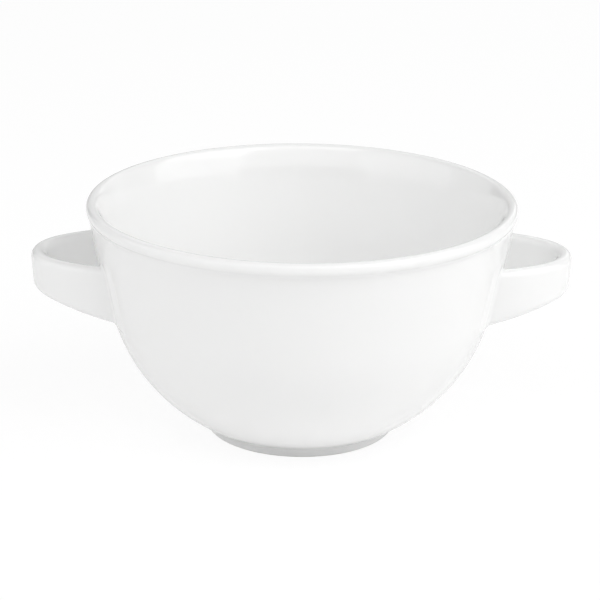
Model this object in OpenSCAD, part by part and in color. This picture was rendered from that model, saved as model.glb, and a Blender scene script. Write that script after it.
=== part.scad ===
// Two-handled soup cup: a round porcelain bowl on a foot ring, with a strap handle luted to each side.
// Sizes are millimetres and angles are degrees. The origin is the centre of the standing face,
// +Z is up, and the handles point along -X (left) and +X (right). The front is towards -Y.

/* [Bowl] */
// Outside diameter over the rim bead
rim_d = 120; // [110:1:130]
// Height from the standing face to the top of the rim
cup_h = 67; // [62:1:76]
// Thickness of the side wall
wall_t = 3.3; // [2.6:0.1:4]
// Lean of the straight upper wall away from upright
flare = 10.2; // [7:0.2:13]
// Radius of the round lower wall
belly_r = 50.2; // [46:0.2:56]
// Radius of the rounding between the inside wall and the floor
well_r = 36; // [32:0.5:40]
// Thickness of the base above the recess under it
base_t = 4.4; // [3.6:0.1:5.6]

/* [Rim] */
// Radius of the rolled bead along the rim
bead_r = 1.6; // [1.3:0.1:2]
// Height of the bead's upright outer side
bead_side = 0.4; // [0.2:0.1:1]
// How far the bead stands out past the line of the wall
bead_proud = 1.1; // [0.6:0.1:1.5]
// Radius of the hollow under the bead
under_r = 3.2; // [1:0.1:5]
// Depth of the turned-out lip inside the rim
lip_h = 7.5; // [5:0.5:11]

/* [Foot] */
// Outside diameter of the foot ring
foot_d = 53.6; // [48:0.4:58]
// Height at which the wall springs from the foot ring
foot_h = 2.3; // [1.8:0.1:4]
// Width of the foot ring at the standing face
foot_w = 3.4; // [2.4:0.1:5]
// Height of the foot ring's upright side, below the hollow between the ring and the wall
foot_side = 0.7; // [0.7:0.1:1.6]
// Radius of the foot ring's outer standing edge
foot_edge = 0.5; // [0.2:0.1:0.7]
// Depth of the recess inside the foot ring
recess_h = 2.4; // [1.4:0.1:3.2]
// Lean of the recess's side away from upright
recess_draft = 20; // [5:1:35]

/* [Handles] */
// How far each handle stands out past the rim bead
handle_out = 15.8; // [12:0.2:22]
// Thickness of the strap
strap_t = 4.2; // [3.4:0.1:5.4]
// Height of the strap's top edge
strap_top = 52.2; // [49:0.2:56]
// Lean of the strap's faces, so that its lower edge is set in
strap_lean = 3; // [0:0.5:6]
// Height of the strap's underside where it leaves the bowl
strap_root_z = 36.6; // [33:0.1:40]
// Height of the strap's underside at its outer end
strap_tip_z = 41.7; // [38:0.1:45]
// Plan radius of the outer bend, at the middle of the strap
bend_r = 13.5; // [11:0.1:15]
// Angle that the outer bend turns through on each side of its middle
bend_a = 50; // [44:1:58]
// Plan radius of the strap's two sides, at the middle of the strap
side_r = 35.5; // [28:0.5:44]

/* [Lands] */
// How far the rim bead stands out past the raised land between a handle's two roots
bead_over_land = 0.25; // [0.1:0.05:0.5]
// How far the land runs past the slip, to the sides and below
land_past = 0.5; // [0.3:0.1:2]
// Width of the land at the rim bead
land_rim_w = 66; // [56:1:72]

/* [Slip joints] */
// Thickness of the slip between a handle's end and the bowl
slip_t = 0.6; // [0.4:0.1:1]
// How far the slip is squeezed out around the strap
slip_w = 1.2; // [0.6:0.1:2]

/* [Hidden] */

// Largest angle between two points of an arc, on the bowl and on the strap's edges
arc_step = 4;
edge_step = 22.5;
// Sides of a full turn
$fn = 96;

clay_colour = "whitesmoke";
handle_colour = "white";
slip_colour = "gainsboro";

// Points along an arc, from one angle to another, with a largest step between them
function arc(centre, radius, from, to, step = arc_step) =
    let (steps = max(2, ceil(abs(to - from) / step)))
    [for (i = [0 : steps])
        let (a = from + (to - from) * i / steps)
        centre + radius * [cos(a), sin(a)]];

// Direction of a vector, as an angle
function direction(v) = atan2(v[1], v[0]);

// The wall's section is drawn with radius as its first coordinate and height as its second.
// The upper wall is a straight line that leans out by the flare angle.
up_wall = [sin(flare), cos(flare)];
out_wall = [cos(flare), -sin(flare)];
bead_c = [rim_d / 2 - bead_r, cup_h - bead_r];
bead_low_c = bead_c - [0, bead_side];
wall_ref = [rim_d / 2 - bead_proud, bead_c[1]];

// Outside and inside radius of the straight upper wall at a height
function wall_out(z) = wall_ref[0] - (wall_ref[1] - z) * tan(flare);
function wall_in(z) = wall_out(z) - wall_t / cos(flare);

// The lower wall is an arc tangent to the upper wall that springs from the top of the foot ring.
foot_r = foot_d / 2;
spring = [foot_r, foot_h];
spring_in = (wall_out(foot_h) - foot_r) * cos(flare);
belly_rise = sqrt(2 * belly_r * spring_in - spring_in * spring_in);
belly_c = spring + (spring_in - belly_r) * out_wall + belly_rise * up_wall;
belly_top_z = belly_c[1] - belly_r * sin(flare);

// Outside radius of the wall at a height, on the lower or the upper wall
function wall_r(z) =
    z < belly_top_z ? belly_c[0] + sqrt(belly_r * belly_r - pow(belly_c[1] - z, 2)) : wall_out(z);

// The hollow above the foot ring touches the top of the ring's upright side and the lower wall.
side_drop = belly_c[1] - foot_side;
spring_drop = belly_c[1] - foot_h;
foot_hollow_r = (side_drop * side_drop - spring_drop * spring_drop)
    / (2 * (belly_r - foot_r + belly_c[0]));
foot_hollow_c = [foot_r + foot_hollow_r, foot_side];

// The hollow under the bead touches the upper wall and the bead.
bead_offset = (bead_low_c - wall_ref) * out_wall;
under_drop = sqrt(pow(bead_r + under_r, 2) - pow(under_r - bead_offset, 2));
under_base = wall_ref + ((bead_low_c - wall_ref) * up_wall - under_drop) * up_wall;
under_c = under_base + under_r * out_wall;

// The lip curves out from the inside wall to the bead and touches both. Its end tangents meet half-way up it.
lip_foot = [wall_in(cup_h - lip_h), cup_h - lip_h];
lip_corner = [wall_in(cup_h - lip_h / 2), cup_h - lip_h / 2];
lip_touch_a = 360 + direction(lip_corner - bead_c) - acos(bead_r / norm(lip_corner - bead_c));
lip_top = bead_c + bead_r * [cos(lip_touch_a), sin(lip_touch_a)];
lip_steps = 12;
lip_line = [
    for (i = [1:lip_steps])
        let (w = i / lip_steps)
            pow(1 - w, 2) * lip_top + 2 * w * (1 - w) * lip_corner + w * w * lip_foot];

// The well is an arc that touches the inside wall and the floor.
floor_z = recess_h + base_t;
well_z = floor_z + well_r;
well_c = [wall_in(well_z) - well_r / cos(flare), well_z];

// The outside of the wall from the foot ring's hollow to a place up the wall, moved out by a distance
function wall_line(off, end = wall_ref) = concat(
    arc(belly_c, belly_r + off, direction(foot_hollow_c - belly_c), -flare),
    [end + off * out_wall]);

foot_in_r = foot_r - foot_w;
recess_r = foot_in_r - recess_h * tan(recess_draft);

body_section = concat(
    [[0, recess_h], [recess_r, recess_h], [foot_in_r, 0]],
    arc([foot_r - foot_edge, foot_edge], foot_edge, -90, 0),
    arc(foot_hollow_c, foot_hollow_r, 180, direction(belly_c - foot_hollow_c)),
    wall_line(0, under_base),
    arc(under_c, under_r, 180 - flare, direction(bead_low_c - under_c)),
    arc(bead_low_c, bead_r, direction(under_c - bead_low_c), 0),
    arc(bead_c, bead_r, 0, lip_touch_a),
    lip_line,
    arc(well_c, well_r, -flare, -90),
    [[0, floor_z]]);

// The strap's middle line in plan is an outer bend with a side arc on each end of it.
// A place on it is given by the angle at which its outward side faces.
reach = rim_d / 2 + handle_out;
bend_c = [reach - strap_t / 2 - bend_r, 0];
side_shift = side_r - bend_r;
side_end_a = 130;
plan_step = 5;

function facing(a) = [cos(a), sin(a)];
function middle_line(a) =
    abs(a) <= bend_a
    ? bend_c + bend_r * facing(a)
    : bend_c - side_shift * facing(sign(a) * bend_a) + side_r * facing(a);

// The strap's underside rises in a straight line from the bowl to the outer end.
root_x = wall_r(strap_root_z);
underside_slope = (strap_tip_z - strap_root_z) / (reach - root_x);
function underside(x) = strap_root_z + (x - root_x) * underside_slope;

// Section of the strap at a place on its middle line, as distances out from that line and heights:
// a full-round top edge and a full-round lower edge, with the faces leaning between them
function strap_section(x, grow) =
    let (edge = strap_t / 2 + grow)
    let (top = strap_top + grow - edge)
    let (low = underside(x) - grow + edge)
    [for (p = concat(arc([0, top], edge, 0, 180, edge_step), arc([0, low], edge, 180, 360, edge_step)))
        [p[0] - (top - p[1]) * tan(strap_lean), p[1]]];

// The same section, turned to its place in the cup
function strap_ring(a, grow) =
    let (p = middle_line(a))
    [for (q = strap_section(p[0], grow))
        let (place = p + q[0] * facing(a))
        [place[0], place[1], q[1]]];

// The right-hand strap, running on into the bowl, grown on all sides by a distance
module strap(grow) {
    rings = [for (a = [-side_end_a : plan_step : side_end_a]) strap_ring(a, grow)];
    sides = len(rings[0]);
    last = len(rings) - 1;
    walls = [for (i = [0 : last - 1], j = [0 : sides - 1])
        let (k = (j + 1) % sides)
        each [[i * sides + j, i * sides + k, (i + 1) * sides + k],
              [i * sides + j, (i + 1) * sides + k, (i + 1) * sides + j]]];
    first_end = [for (j = [sides - 1 : -1 : 0]) j];
    last_end = [for (j = [0 : sides - 1]) last * sides + j];
    polyhedron([for (ring = rings) each ring], concat(walls, [first_end, last_end]));
}

// The land stands out past the wall by the same distance all over.
land_t = bead_proud - bead_over_land;
land_root_w = 2 * (side_r - side_shift * sin(bend_a) + strap_t / 2 + slip_w + land_past);
land_low_z = strap_root_z - slip_w - land_past;
land_wide_z = strap_top + slip_w;

// The bowl filled solid, out to a distance from the wall's outside
module filled_bowl(off) {
    line = wall_line(off);
    rotate_extrude() polygon(concat([[0, line[0][1]]], line, [[0, line[len(line) - 1][1]]]));
}

// The layer between two distances from the wall's outside
module wall_layer(from, to) {
    inner = wall_line(from);
    outer = wall_line(to);
    rotate_extrude() polygon(concat(inner, [for (i = [len(outer) - 1 : -1 : 0]) outer[i]]));
}

// The land on the right-hand side, rooted in the middle of the wall, which fans out above the handle
module land() {
    root_y = land_root_w / 2;
    rim_y = land_rim_w / 2;
    intersection() {
        wall_layer(-wall_t / 2, land_t);
        rotate([90, 0, 90]) linear_extrude(rim_d) polygon([
            [-root_y, land_low_z], [root_y, land_low_z], [root_y, land_wide_z],
            [rim_y, cup_h], [-rim_y, cup_h], [-root_y, land_wide_z]]);
    }
}

// The right-hand handle, cut to sit on the slip
module handle() {
    color(handle_colour) difference() {
        strap(0);
        filled_bowl(land_t + slip_t);
    }
}

// The slip at the front root of the right-hand handle
module root_slip() {
    color(slip_colour) intersection() {
        strap(slip_w);
        wall_layer(land_t, land_t + slip_t);
        translate([0, -rim_d, 0]) cube([rim_d, rim_d, cup_h]);
    }
}

module cup_body() {
    color(clay_colour) union() {
        rotate_extrude() polygon(body_section);
        land();
        mirror([1, 0, 0]) land();
    }
}

module right_handle() {
    handle();
}

module left_handle() {
    mirror([1, 0, 0]) handle();
}

module right_front_slip() {
    root_slip();
}

module right_rear_slip() {
    mirror([0, 1, 0]) root_slip();
}

module left_front_slip() {
    mirror([1, 0, 0]) root_slip();
}

module left_rear_slip() {
    mirror([1, 0, 0]) mirror([0, 1, 0]) root_slip();
}

cup_body();
left_handle();
right_handle();
left_front_slip();
left_rear_slip();
right_front_slip();
right_rear_slip();
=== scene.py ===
import bpy
import numpy as np
from mathutils import Matrix, Vector


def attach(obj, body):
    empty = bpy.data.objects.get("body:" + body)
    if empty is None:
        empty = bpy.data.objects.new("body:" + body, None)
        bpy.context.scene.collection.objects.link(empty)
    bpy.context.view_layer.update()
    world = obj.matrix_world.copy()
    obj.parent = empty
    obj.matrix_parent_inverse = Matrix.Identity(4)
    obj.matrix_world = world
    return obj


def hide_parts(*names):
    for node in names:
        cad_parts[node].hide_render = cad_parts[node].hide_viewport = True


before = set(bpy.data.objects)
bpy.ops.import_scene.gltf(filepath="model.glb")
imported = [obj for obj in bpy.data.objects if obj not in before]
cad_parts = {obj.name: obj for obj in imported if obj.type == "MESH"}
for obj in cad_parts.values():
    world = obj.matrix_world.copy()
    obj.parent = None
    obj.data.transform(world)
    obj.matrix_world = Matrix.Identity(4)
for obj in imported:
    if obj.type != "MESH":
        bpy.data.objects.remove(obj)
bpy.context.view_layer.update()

# Shapes are worked out in millimetres and radians, and a mesh is made in metres.
# The cup stands on z = 0 with its axis on Z, its handles along X and its front towards -Y.
MM = 0.001

# Bowl
RIM_R = 60.0
CUP_H = 67.0
WALL_T = 3.3
FLARE = np.radians(10.2)
BELLY_R = 50.2
WELL_R = 36.0
BASE_T = 4.4
BEAD_R = 1.6
BEAD_SIDE = 0.4
BEAD_PROUD = 1.1
UNDER_R = 3.2
LIP_H = 7.5
FOOT_R = 26.8
FOOT_H = 2.3
FOOT_W = 3.4
FOOT_SIDE = 0.7
FOOT_EDGE = 0.5
RECESS_H = 2.4
RECESS_DRAFT = np.radians(20.0)

# Handles
REACH = 75.8
STRAP_T = 4.2
STRAP_TOP = 52.2
STRAP_LEAN = np.radians(3.0)
STRAP_ROOT_Z = 36.6
STRAP_TIP_Z = 41.7
STRAP_SUNK = 1.0
BEND_R = 13.5
BEND_A = np.radians(50.0)
SIDE_R = 35.5

# Raised land on the wall between a handle's two roots, with soft edges
LAND_T = 0.85
LAND_HALF_W = 21.5
LAND_FAN_Z = 52.7
LAND_FAN = 0.88
LAND_LOW_Z = 35.2
LAND_TOP_Z = 63.6
LAND_EDGE = 2.4
LAND_END = 1.2

# Slip joints
SLIP_ON_STRAP = 1.0
SLIP_ON_WALL = 1.2
SLIP_SUNK = 0.03
SLIP_DEEP = 0.6

# How finely the surfaces are drawn
BOWL_TURNS = 384
BOWL_ROWS = 238
ROWS_BY_LENGTH = 0.45
STRAP_STATIONS = 181
EDGE_POINTS = 26
FACE_POINTS = 12
FILLET_POINTS = 10
STEP = 0.02
GLAZE_ROUNDING = 0.28
ROUNDING_REACH = 4
STATION_IN_WALL = np.radians(130.0)
ROOT_HALVINGS = 40
NUDGE = 0.001
STRAP_SHARP = np.radians(50.0)
SLIP_SHARP = np.radians(40.0)

# Glaze: colours, and ripple depths and heights in metres, as the materials read them
PORCELAIN_CLEAR = (0.935, 0.935, 0.93, 1.0)
PORCELAIN_POOLED = (0.92, 0.922, 0.92, 1.0)
PORCELAIN_RIPPLE = 0.00004
SLIP_CLEAR = (0.925, 0.925, 0.92, 1.0)
SLIP_POOLED = (0.90, 0.902, 0.90, 1.0)
SLIP_RIPPLE = 0.00006
BARE_CLAY = (0.78, 0.765, 0.735, 1.0)
BARE_BELOW = 0.00022
GLAZED_ABOVE = 0.00042
CLOUDS = {"Scale": 38.0, "Detail": 2.0}
GRAIN = {"Scale": 260.0, "Detail": 3.0}
WAVES = {"Scale": 120.0, "Detail": 1.0}
GLOSS_ROUGHNESS = 0.03
GRAIN_ROUGHNESS = 0.03
BARE_ROUGHNESS = 0.55
GRAIN_RELIEF = 0.15
RIPPLE_STRENGTH = 0.35
GLAZE_IOR = 1.5

# Studio, in metres. The floor's seen and mirrored values are the shares of its glow in such a ray.
WHITE = (1.0, 1.0, 1.0, 1.0)
WORLD_LEVEL = 0.1
FLOOR_HALF = 2.0
FLOOR_Z = -0.00005
FLOOR_SHADE = 0.97
FLOOR_GLOW = 1.03
FLOOR_SEEN = 0.86
FLOOR_MIRRORED = 0.5

# Softboxes face a point on the axis. Each has the direction to it in degrees (azimuth from +X,
# elevation), its distance, width and height, and the brightness of its face.
SOFTBOX_AIM = (0.0, 0.0, 0.05)
SOFTBOXES = {
    "right_low": (-21.0, 19.0, 1.1, 1.22, 0.59, 1.5),
    "right_high": (-21.0, 47.0, 1.1, 0.98, 0.51, 2.6),
    "left_low": (-160.5, 22.0, 1.1, 1.245, 0.715, 1.35),
    "left_high": (-160.5, 52.5, 1.1, 0.87, 0.49, 0.49),
    "front_low": (-90.5, 22.0, 1.1, 1.81, 0.31, 0.75),
    "front_middle": (-90.5, 40.0, 1.1, 1.45, 0.39, 0.55),
    "front_high": (-90.5, 61.0, 1.1, 1.0, 0.43, 2.3),
    "right_side": (24.0, 17.0, 1.2, 0.69, 0.555, 0.3),
    "right_back": (55.0, 17.0, 1.2, 0.64, 0.555, 0.67),
    "left_back": (150.0, 17.0, 1.2, 0.875, 0.555, 0.61),
    "rear_low": (90.0, 16.0, 1.3, 1.38, 0.55, 0.45),
    "rear_high": (90.0, 39.0, 1.3, 1.38, 0.505, 0.97),
}

# Camera: metres and radians, with the lens and the sensor in millimetres
CAMERA_TARGET = (0.0, 0.0, 0.033)
CAMERA_DISTANCE = 0.6
CAMERA_ELEVATION = 0.3412
CAMERA_TURN = -0.0085
CAMERA_AIM = (-0.00033, 0.00123, 0.03646)
CAMERA_ROLL = 0.0098
CAMERA_LENS = 126.9
SENSOR = 36.0


# Bowl section, with radius as the first coordinate and height as the second

def arc(centre, radius, start, end):
    """Points on a circle: centre + radius * (cos a, sin a), with a running evenly from start
    to end."""
    count = 2 + int(abs(end - start) * radius / STEP)
    a = np.linspace(start, end, count)
    return np.asarray(centre) + radius * np.stack([np.cos(a), np.sin(a)], axis=1)


def bent_line(start, corner, end, count):
    """A curve that leaves its start towards the corner and reaches its end from the corner:
    (1 - w)^2 start + 2 w (1 - w) corner + w^2 end, with w running evenly from 0 to 1. Each of
    the three is one point, or an array of points for as many curves."""
    w = np.linspace(0.0, 1.0, count).reshape((-1,) + (1,) * np.ndim(corner))
    return (1 - w) ** 2 * start + 2 * w * (1 - w) * corner + w ** 2 * end


def direction(vector):
    """Angle of a plane vector: the arc tangent of its second part over its first."""
    return np.arctan2(vector[1], vector[0])


UP_WALL = np.array([np.sin(FLARE), np.cos(FLARE)])
OUT_WALL = np.array([np.cos(FLARE), -np.sin(FLARE)])
BEAD_C = np.array([RIM_R - BEAD_R, CUP_H - BEAD_R])
BEAD_LOW_C = BEAD_C - np.array([0.0, BEAD_SIDE])
WALL_REF = np.array([RIM_R - BEAD_PROUD, BEAD_C[1]])


def wall_out(z):
    """Outside radius of the straight upper wall: it falls with depth by the tangent of the
    flare."""
    return WALL_REF[0] - (WALL_REF[1] - z) * np.tan(FLARE)


def wall_in(z):
    """Inside radius of the straight upper wall: the outside radius less the wall measured
    level."""
    return wall_out(z) - WALL_T / np.cos(FLARE)


# The lower wall is an arc that touches the upper wall and springs from the foot ring's top.
SPRING_IN = (wall_out(FOOT_H) - FOOT_R) * np.cos(FLARE)
BELLY_RISE = np.sqrt(2 * BELLY_R * SPRING_IN - SPRING_IN ** 2)
BELLY_SPRING = np.array([FOOT_R, FOOT_H])
BELLY_C = BELLY_SPRING + (SPRING_IN - BELLY_R) * OUT_WALL + BELLY_RISE * UP_WALL
BELLY_TOP_Z = BELLY_C[1] - BELLY_R * np.sin(FLARE)


def wall_radius(z):
    """Outside radius at a height: the belly's circle below the place where it touches the
    upper wall, and the straight upper wall above it."""
    belly = BELLY_C[0] + np.sqrt(np.maximum(BELLY_R ** 2 - (BELLY_C[1] - z) ** 2, 0.0))
    return np.where(z < BELLY_TOP_Z, belly, wall_out(z))


def smooth_step(x):
    """Rises from 0 at x = 0 to 1 at x = 1 as 3 x^2 - 2 x^3, and is level on both sides."""
    x = np.clip(x, 0.0, 1.0)
    return x * x * (3.0 - 2.0 * x)


def land_height(y, z):
    """How far the land stands out past the wall. Its half-width is constant beside the roots
    and grows in proportion to the height above them. Smooth steps carry it down over its
    sides, over its lower end and over its upper end at the bead."""
    half = LAND_HALF_W + LAND_FAN * np.maximum(z - LAND_FAN_Z, 0.0)
    across = smooth_step(0.5 + (half - np.abs(y)) / LAND_EDGE)
    below = smooth_step(0.5 + (z - LAND_LOW_Z) / LAND_END)
    above = smooth_step(0.5 + (LAND_TOP_Z - z) / LAND_END)
    return LAND_T * across * below * above


def outside_radius(y, z):
    """Outside radius of the wall with the land on it: the sum of the two."""
    return wall_radius(z) + land_height(y, z)


def bowl_section():
    """The bowl's section from the axis under the base, round the foot, up the outside, over
    the bead and down the inside to the axis: arcs, lines and the lip's curve, as in the solid,
    each touching the next except at the foot's corners."""
    side_drop = BELLY_C[1] - FOOT_SIDE
    spring_drop = BELLY_C[1] - FOOT_H
    hollow_r = (side_drop ** 2 - spring_drop ** 2) / (2 * (BELLY_R - FOOT_R + BELLY_C[0]))
    hollow_c = np.array([FOOT_R + hollow_r, FOOT_SIDE])

    bead_offset = (BEAD_LOW_C - WALL_REF) @ OUT_WALL
    under_drop = np.sqrt((BEAD_R + UNDER_R) ** 2 - (UNDER_R - bead_offset) ** 2)
    under_base = WALL_REF + ((BEAD_LOW_C - WALL_REF) @ UP_WALL - under_drop) * UP_WALL
    under_c = under_base + UNDER_R * OUT_WALL

    lip_foot = np.array([wall_in(CUP_H - LIP_H), CUP_H - LIP_H])
    lip_corner = np.array([wall_in(CUP_H - LIP_H / 2), CUP_H - LIP_H / 2])
    to_corner = lip_corner - BEAD_C
    lip_touch = 2 * np.pi + direction(to_corner) - np.arccos(BEAD_R / np.hypot(*to_corner))
    lip_top = BEAD_C + BEAD_R * np.array([np.cos(lip_touch), np.sin(lip_touch)])
    lip_length = np.linalg.norm(lip_corner - lip_top) + np.linalg.norm(lip_foot - lip_corner)

    floor_z = RECESS_H + BASE_T
    well_z = floor_z + WELL_R
    well_c = np.array([wall_in(well_z) - WELL_R / np.cos(FLARE), well_z])
    foot_in = FOOT_R - FOOT_W
    recess_r = foot_in - RECESS_H * np.tan(RECESS_DRAFT)

    return np.concatenate([
        [[0.0, RECESS_H], [recess_r, RECESS_H], [foot_in, 0.0]],
        arc([FOOT_R - FOOT_EDGE, FOOT_EDGE], FOOT_EDGE, -np.pi / 2, 0.0),
        arc(hollow_c, hollow_r, np.pi, direction(BELLY_C - hollow_c)),
        arc(BELLY_C, BELLY_R, direction(hollow_c - BELLY_C), -FLARE),
        arc(under_c, UNDER_R, np.pi - FLARE, direction(BEAD_LOW_C - under_c)),
        arc(BEAD_LOW_C, BEAD_R, direction(under_c - BEAD_LOW_C), 0.0),
        arc(BEAD_C, BEAD_R, 0.0, lip_touch),
        bent_line(lip_top, lip_corner, lip_foot, 2 + int(lip_length / STEP)),
        arc(well_c, WELL_R, -FLARE, -np.pi / 2),
        [[0.0, floor_z]]])


def even_steps(points, step):
    """The same line with points at even distances along it, by interpolation over its running
    length."""
    legs = np.linalg.norm(np.diff(points, axis=0), axis=1)
    length = np.concatenate([[0.0], np.cumsum(legs)])
    places = np.linspace(0.0, length[-1], 1 + int(length[-1] / step))
    return np.stack([np.interp(places, length, points[:, k]) for k in range(2)], axis=1)


def soften(points, step, spread):
    """Each point becomes the bell-weighted mean of the line around it, so corners round off as
    under glaze. Past both ends the line goes on as its own mirror image in the axis."""
    reach = int(ROUNDING_REACH * spread / step)
    offsets = np.arange(-reach, reach + 1) * step
    weight = np.exp(-0.5 * (offsets / spread) ** 2)
    weight /= weight.sum()
    mirror = np.array([-1.0, 1.0])
    before = points[reach:0:-1] * mirror
    after = points[-2:-reach - 2:-1] * mirror
    longer = np.concatenate([before, points, after])
    return np.stack([np.convolve(longer[:, k], weight, mode="valid") for k in range(2)], axis=1)


def crowd_into_bends(points, count, length_share):
    """Picks points along a dense line, spaced evenly in a measure that adds up its length and
    its turning, each as a share of the whole."""
    leg = np.diff(points, axis=0)
    length = np.linalg.norm(leg, axis=1)
    heading = np.unwrap(np.arctan2(leg[:, 1], leg[:, 0]))
    turning = np.abs(np.gradient(heading))
    by_length = length_share * length / length.sum()
    by_turning = (1.0 - length_share) * turning / turning.sum()
    run = np.concatenate([[0.0], np.cumsum(by_length + by_turning)])
    number = np.arange(len(points))
    places = np.interp(np.linspace(0.0, run[-1], count), run, number)
    return np.stack([np.interp(places, number, points[:, k]) for k in range(2)], axis=1)


# Grids and meshes

def grid_faces(rows, columns, wrap_rows, wrap_columns):
    """Four-sided faces between neighbours of a grid whose points are numbered row by row.
    A wrapped side joins its last line to its first."""
    i = np.arange(rows if wrap_rows else rows - 1)[:, None]
    j = np.arange(columns if wrap_columns else columns - 1)[None, :]
    row, next_row = i * columns, (i + 1) % rows * columns
    next_j = (j + 1) % columns
    corners = np.broadcast_arrays(row + j, row + next_j, next_row + next_j, next_row + j)
    return np.stack(corners, axis=-1).reshape(-1, 4)


def fan_faces(ring, centre):
    """Triangles from a centre point to each side of a closed ring of points."""
    return np.stack([ring, np.roll(ring, -1), np.full(len(ring), centre)], axis=1)


def enclosed_volume(points, quads, triangles):
    """Six times the volume that the faces enclose, with its sign: the sum over the triangles
    of the triple product of their corners."""
    halves = np.concatenate([quads[:, [0, 1, 2]], quads[:, [0, 2, 3]], triangles])
    a, b, c = (points[halves[:, k]] for k in range(3))
    return np.einsum("ij,ij->", a, np.cross(b, c))


def make_piece(name, points, quads, triangles, node, material, sharp=None):
    """A mesh object from arrays in millimetres that takes a node's place. Its faces are turned
    round where the volume that they enclose is negative, so that they point outwards."""
    if enclosed_volume(points, quads, triangles) < 0.0:
        quads, triangles = quads[:, ::-1], triangles[:, ::-1]
    mesh = bpy.data.meshes.new(name)
    mesh.from_pydata((points * MM).tolist(), [], quads.tolist() + triangles.tolist())
    mesh.shade_smooth()
    if sharp is not None:
        mesh.set_sharp_from_angle(angle=sharp)
    mesh.materials.append(material)
    piece = bpy.data.objects.new(name, mesh)
    bpy.context.scene.collection.objects.link(piece)
    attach(piece, "root")
    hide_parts(node)


def make_bowl(material):
    """The bowl: its softened section turned about the axis, radius * (cos t, sin t) at each
    height, with one point at each end of the section on the axis. On the outside, up to the
    widest place of the bead, the radius is that of the section or that of the wall with the
    land on it, whichever is larger."""
    dense = soften(even_steps(bowl_section(), STEP), STEP, GLAZE_ROUNDING)
    section = crowd_into_bends(dense, BOWL_ROWS, ROWS_BY_LENGTH)
    body = section[1:-1]
    t = np.linspace(0.0, 2 * np.pi, BOWL_TURNS, endpoint=False)
    radius, height, t = np.broadcast_arrays(body[:, :1], body[:, 1:], t)
    outside = np.arange(len(body))[:, None] < np.argmax(body[:, 0])
    land = np.where(outside, land_height(radius * np.sin(t), height), 0.0)
    radius = np.where(land > 0.0, np.maximum(radius, wall_radius(height) + land), radius)
    turned = np.stack([radius * np.cos(t), radius * np.sin(t), height], axis=-1).reshape(-1, 3)
    poles = np.array([[0.0, 0.0, section[0, 1]], [0.0, 0.0, section[-1, 1]]])
    points = np.concatenate([turned, poles])
    quads = grid_faces(len(body), BOWL_TURNS, False, True)
    ring = np.arange(BOWL_TURNS)
    under = fan_faces(ring[::-1], len(turned))
    inside = fan_faces(ring + (len(body) - 1) * BOWL_TURNS, len(turned) + 1)
    triangles = np.concatenate([under, inside])
    make_piece("bowl", points, quads, triangles, "cup_body", material)


# Strap handle, on the right-hand side. A station is the angle at which the strap's outward
# side faces.

ROOT_X = wall_radius(STRAP_ROOT_Z)
UNDERSIDE_SLOPE = (STRAP_TIP_Z - STRAP_ROOT_Z) / (REACH - ROOT_X)
EDGE_R = STRAP_T / 2
BEND_C = REACH - EDGE_R - BEND_R


def strap_outline():
    """Once round the strap's section: the part out from its middle line and the part up, both
    in edge radii, and the share of the way from the top edge's centre down to the lower
    edge's centre. Half circles for the edges, and straight faces between them."""
    turn = np.linspace(0.0, np.pi, EDGE_POINTS)
    down = np.linspace(0.0, 1.0, FACE_POINTS + 2)[1:-1]
    flat = np.zeros(FACE_POINTS)
    out = np.concatenate([np.cos(turn), flat - 1.0, -np.cos(turn), flat + 1.0])
    up = np.concatenate([np.sin(turn), flat, -np.sin(turn), flat])
    share = np.concatenate([0.0 * turn, down, 0.0 * turn + 1.0, 1.0 - down])
    return out, up, share


def strap_point(a, out, up, share):
    """A point on the strap: the middle line is a bend of one radius up to the bend angle and
    of the side's radius past it. Out from it lies the section, whose lower edge follows the
    sloping underside and whose faces lean in by the tangent of the lean times the depth below
    the top edge's centre."""
    past = np.sign(a) * np.maximum(np.abs(a) - BEND_A, 0.0)
    bend = a - past
    shift = np.where(past == 0.0, 0.0, SIDE_R - BEND_R)
    radius = np.where(past == 0.0, BEND_R, SIDE_R)
    middle_x = BEND_C - shift * np.cos(bend) + radius * np.cos(a)
    middle_y = -shift * np.sin(bend) + radius * np.sin(a)
    top = STRAP_TOP - EDGE_R
    low = STRAP_ROOT_Z + (middle_x - ROOT_X) * UNDERSIDE_SLOPE + EDGE_R
    z = top - share * (top - low) + up * EDGE_R
    away = out * EDGE_R - (top - z) * np.tan(STRAP_LEAN)
    return np.stack([middle_x + away * np.cos(a), middle_y + away * np.sin(a), z], axis=-1)


def root_station(depth, out, up, share):
    """The rear station at which each line along the strap lies a depth inside the wall, by
    halving the span between a station clear of the bowl and one within it."""
    clear = np.full(out.shape, BEND_A)
    within = np.full(out.shape, STATION_IN_WALL)
    for _ in range(ROOT_HALVINGS):
        middle = (clear + within) / 2
        p = strap_point(middle, out, up, share)
        outside = np.hypot(p[:, 0], p[:, 1]) - outside_radius(p[:, 1], p[:, 2]) > -depth
        clear = np.where(outside, middle, clear)
        within = np.where(outside, within, middle)
    return clear


def make_handle(name, node, side, material):
    """A handle: its section carried along the middle line between the two roots, where each
    end runs on into the wall and is closed by a fan."""
    outline = strap_outline()
    end = root_station(STRAP_SUNK, *outline)
    station = np.linspace(-1.0, 1.0, STRAP_STATIONS)[:, None] * end
    rings = strap_point(station, *outline)
    sides = len(end)
    ends = rings[[0, -1]].mean(axis=1)
    points = np.concatenate([rings.reshape(-1, 3), ends]) * np.array([side, 1.0, 1.0])
    ring = np.arange(sides)
    front = fan_faces(ring[::-1], len(points) - 2)
    rear = fan_faces(ring + (STRAP_STATIONS - 1) * sides, len(points) - 1)
    triangles = np.concatenate([front, rear])
    quads = grid_faces(STRAP_STATIONS, sides, False, True)
    make_piece(name, points, quads, triangles, node, material, STRAP_SHARP)


def unit(vectors):
    """Each vector divided by its own length."""
    return vectors / np.linalg.norm(vectors, axis=-1, keepdims=True)


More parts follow.
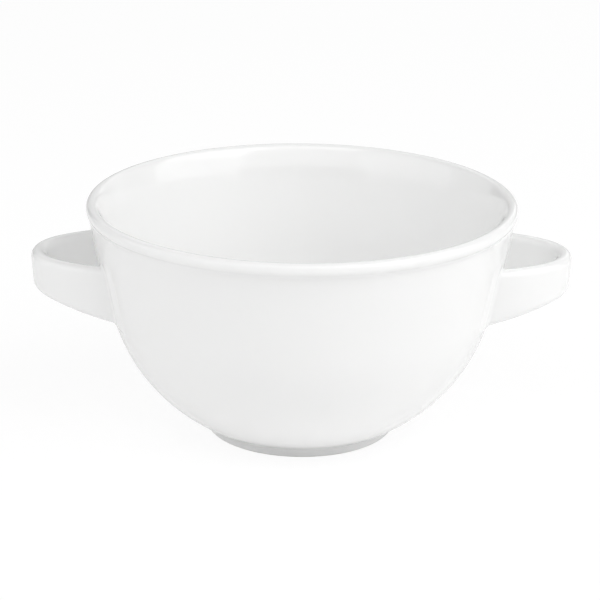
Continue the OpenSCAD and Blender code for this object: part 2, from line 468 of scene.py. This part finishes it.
def make_slip(name, node, side, front, material):
    """The slip at one root: a hollow fillet round the strap. Its section is a curve from a
    line on the strap to a line on the wall that bends towards the corner between them, closed
    by a path inside the clay."""
    outline = out, up, _ = strap_outline()
    root = root_station(0.0, *outline)
    corner = strap_point(root, *outline)
    along = (strap_point(root - NUDGE, *outline) - corner) / NUDGE
    speed = np.linalg.norm(along, axis=-1)
    strap_normal = np.stack([out * np.cos(root), out * np.sin(root), up], axis=-1)
    on_strap = strap_point(root - SLIP_ON_STRAP / speed, *outline) - SLIP_SUNK * strap_normal

    around = np.arctan2(corner[:, 1], corner[:, 0])
    at_corner = outside_radius(corner[:, 1], corner[:, 2])
    rise = (outside_radius(corner[:, 1], corner[:, 2] + NUDGE) - at_corner) / NUDGE
    wall_normal = unit(np.stack([np.cos(around), np.sin(around), -rise], axis=-1))
    facing = np.sum(strap_normal * wall_normal, axis=-1, keepdims=True)
    beside = corner + SLIP_ON_WALL * unit(strap_normal - facing * wall_normal)
    turn = np.arctan2(beside[:, 1], beside[:, 0])
    radius = outside_radius(beside[:, 1], beside[:, 2]) - SLIP_SUNK
    on_wall = np.stack([radius * np.cos(turn), radius * np.sin(turn), beside[:, 2]], axis=-1)

    fillet = bent_line(on_strap, corner, on_wall, FILLET_POINTS)
    inner = np.stack([on_wall - SLIP_DEEP * wall_normal,
                      corner - SLIP_DEEP * (wall_normal + strap_normal),
                      on_strap - SLIP_DEEP * strap_normal])
    loops = np.concatenate([fillet, inner])
    points = loops.reshape(-1, 3) * np.array([side, front, 1.0])
    quads = grid_faces(len(loops), len(out), True, True)
    no_triangles = np.zeros((0, 3), int)
    make_piece(name, points, quads, no_triangles, node, material, SLIP_SHARP)


# Materials

# Sockets of a Mix node that mixes colours, by number because several share a name
MIX_FACTOR, MIX_FROM, MIX_TO, MIX_RESULT = 0, 6, 7, 2


class Wire:
    """An output socket in a node tree. Arithmetic on wires and numbers adds Math nodes."""

    def __init__(self, tree, socket=None):
        """A wire from a socket, or with no socket only a way into the tree."""
        self.tree = tree
        self.socket = socket

    def node(self, kind, settings=None, sockets=None, out=0):
        """Adds a node of a kind, makes its settings, fills its sockets from values or wires
        and gives one output."""
        made = self.tree.nodes.new(kind)
        for key, value in (settings or {}).items():
            setattr(made, key, value)
        for key, value in (sockets or {}).items():
            if isinstance(value, Wire):
                self.tree.links.new(value.socket, made.inputs[key])
            else:
                made.inputs[key].default_value = value
        return Wire(self.tree, made.outputs[out]) if made.outputs else made

    def maths(self, operation, first, second):
        """One Math node on two wires or numbers."""
        return self.node("ShaderNodeMath", {"operation": operation}, {0: first, 1: second})

    def blend(self, factor, first, second):
        """A colour that goes from the first to the second as the factor goes from 0 to 1."""
        return self.node("ShaderNodeMix", {"data_type": "RGBA"},
                         {MIX_FACTOR: factor, MIX_FROM: first, MIX_TO: second}, out=MIX_RESULT)

    def __add__(self, other):
        """wire + other"""
        return self.maths("ADD", self, other)

    __radd__ = __add__

    def __mul__(self, other):
        """wire * other"""
        return self.maths("MULTIPLY", self, other)

    __rmul__ = __mul__

    def __sub__(self, other):
        """wire - other"""
        return self.maths("SUBTRACT", self, other)

    def __rsub__(self, other):
        """other - wire"""
        return self.maths("SUBTRACT", other, self)


def new_material(name):
    """An empty material and a wire into its tree."""
    material = bpy.data.materials.new(name)
    material.use_nodes = True
    material.node_tree.nodes.clear()
    return material, Wire(material.node_tree)


def glaze(name, clear, pooled, ripple):
    """Glossy white glaze. Its colour drifts between two near-whites with soft clouds a few
    centimetres across, its gloss varies with finer clouds, and its surface carries a shallow
    ripple. The standing edge of the foot is wiped dry, so below a fraction of a millimetre it
    is bare, matt and a little darker."""
    material, wire = new_material(name)
    place = wire.node("ShaderNodeTexCoord", out="Object")
    clouds = wire.node("ShaderNodeTexNoise", {}, {"Vector": place, **CLOUDS})
    grain = wire.node("ShaderNodeTexNoise", {}, {"Vector": place, **GRAIN})
    waves = wire.node("ShaderNodeTexNoise", {}, {"Vector": place, **WAVES})
    height = wire.node("ShaderNodeSeparateXYZ", {}, {"Vector": place}, out="Z")
    dry = wire.node("ShaderNodeMapRange", {"interpolation_type": "SMOOTHSTEP"},
                    {"Value": height, "From Min": GLAZED_ABOVE, "From Max": BARE_BELOW,
                     "To Min": 0.0, "To Max": 1.0})
    colour = wire.blend(dry, wire.blend(clouds, pooled, clear), BARE_CLAY)
    glossy = GLOSS_ROUGHNESS + GRAIN_ROUGHNESS * grain
    roughness = glossy + dry * (BARE_ROUGHNESS - glossy)
    relief = waves + GRAIN_RELIEF * grain
    bump = wire.node("ShaderNodeBump", {},
                     {"Strength": RIPPLE_STRENGTH, "Distance": ripple, "Height": relief})
    surface = wire.node("ShaderNodeBsdfPrincipled", {},
                        {"Base Color": colour, "Roughness": roughness, "Normal": bump,
                         "IOR": GLAZE_IOR})
    wire.node("ShaderNodeOutputMaterial", {}, {"Surface": surface})
    return material


def floor_paper(name, shade):
    """Matt pale paper. Seen directly it mostly glows, so the open floor comes out white and
    the shadow of the cup stays on it. Mirrored in the glaze it glows less."""
    material, wire = new_material(name)
    seen = wire.node("ShaderNodeLightPath", out="Is Camera Ray")
    mirrored = wire.node("ShaderNodeLightPath", out="Is Glossy Ray")
    through = wire.node("ShaderNodeLightPath", out="Is Transmission Ray")
    glow = wire.node("ShaderNodeEmission", {}, {"Color": WHITE, "Strength": FLOOR_GLOW})
    paper = wire.node("ShaderNodeBsdfDiffuse", {}, {"Color": (shade, shade, shade, 1.0)})
    by_way_of_cup = wire.maths("MAXIMUM", mirrored, through)
    shown = wire.maths("MAXIMUM", seen * FLOOR_SEEN, by_way_of_cup * FLOOR_MIRRORED)
    surface = wire.node("ShaderNodeMixShader", {}, {0: shown, 1: paper, 2: glow})
    wire.node("ShaderNodeOutputMaterial", {}, {"Surface": surface})
    return material


# Studio

def make_softbox(name, azimuth, elevation, distance, width, height, radiance):
    """A rectangular lamp at a distance along its direction from the aim point, facing back
    along that direction. Its power is pi * area * radiance, so its face has that
    brightness."""
    a, e = np.radians([azimuth, elevation])
    outward = np.array([np.cos(e) * np.cos(a), np.cos(e) * np.sin(a), np.sin(e)])
    side = np.array([-np.sin(a), np.cos(a), 0.0])
    up = np.cross(outward, side)
    place = np.array(SOFTBOX_AIM) + distance * outward
    lamp = bpy.data.lights.new(name, "AREA")
    lamp.shape = "RECTANGLE"
    lamp.size = width
    lamp.size_y = height
    lamp.energy = np.pi * width * height * radiance
    box = bpy.data.objects.new(name, lamp)
    turn = Matrix(np.stack([side, up, outward], axis=1).tolist()).to_4x4()
    box.matrix_world = Matrix.Translation(place.tolist()) @ turn
    bpy.context.scene.collection.objects.link(box)


def make_world():
    """An even pale surround: one low level lights the cup, and white is what is seen
    directly. Its strength is the level plus the rest of the way to 1 in a ray from the
    camera."""
    world = bpy.data.worlds.new("studio")
    bpy.context.scene.world = world
    world.use_nodes = True
    world.node_tree.nodes.clear()
    wire = Wire(world.node_tree)
    seen = wire.node("ShaderNodeLightPath", out="Is Camera Ray")
    strength = WORLD_LEVEL + seen * (1.0 - WORLD_LEVEL)
    surround = wire.node("ShaderNodeBackground", {}, {"Color": WHITE, "Strength": strength})
    wire.node("ShaderNodeOutputWorld", {}, {"Surface": surround})


def make_floor():
    """A level square of paper just under the standing face."""
    mesh = bpy.data.meshes.new("floor")
    corners = [(x * FLOOR_HALF, y * FLOOR_HALF, FLOOR_Z)
               for x, y in ((-1, -1), (1, -1), (1, 1), (-1, 1))]
    mesh.from_pydata(corners, [], [[0, 1, 2, 3]])
    mesh.materials.append(floor_paper("floor_paper", FLOOR_SHADE))
    floor = bpy.data.objects.new("floor", mesh)
    bpy.context.scene.collection.objects.link(floor)


def make_camera():
    """The camera stands at a distance from a target on the axis, raised by the elevation and
    turned a little about the axis, looks at the aim point and is rolled about its own line of
    sight."""
    level = CAMERA_DISTANCE * np.cos(CAMERA_ELEVATION)
    rise = CAMERA_DISTANCE * np.sin(CAMERA_ELEVATION)
    away = Vector((level * np.sin(CAMERA_TURN), -level * np.cos(CAMERA_TURN), rise))
    place = Vector(CAMERA_TARGET) + away
    lens = bpy.data.cameras.new("camera")
    lens.lens = CAMERA_LENS
    lens.sensor_width = SENSOR
    camera = bpy.data.objects.new("camera", lens)
    look = (Vector(CAMERA_AIM) - place).to_track_quat("-Z", "Y").to_matrix().to_4x4()
    roll = Matrix.Rotation(CAMERA_ROLL, 4, "Z")
    camera.matrix_world = Matrix.Translation(place) @ look @ roll
    bpy.context.scene.collection.objects.link(camera)
    bpy.context.scene.camera = camera


porcelain = glaze("porcelain_glaze", PORCELAIN_CLEAR, PORCELAIN_POOLED, PORCELAIN_RIPPLE)
slip_glaze = glaze("slip_glaze", SLIP_CLEAR, SLIP_POOLED, SLIP_RIPPLE)

make_bowl(porcelain)
for hand, side in (("left", -1.0), ("right", 1.0)):
    make_handle(f"{hand}_strap", f"{hand}_handle", side, porcelain)
    for end, front in (("front", -1.0), ("rear", 1.0)):
        make_slip(f"{hand}_{end}_fillet", f"{hand}_{end}_slip", side, front, slip_glaze)

make_floor()
make_world()
for name, settings in SOFTBOXES.items():
    make_softbox(name, *settings)
make_camera()

bpy.context.scene.view_settings.view_transform = "Standard"
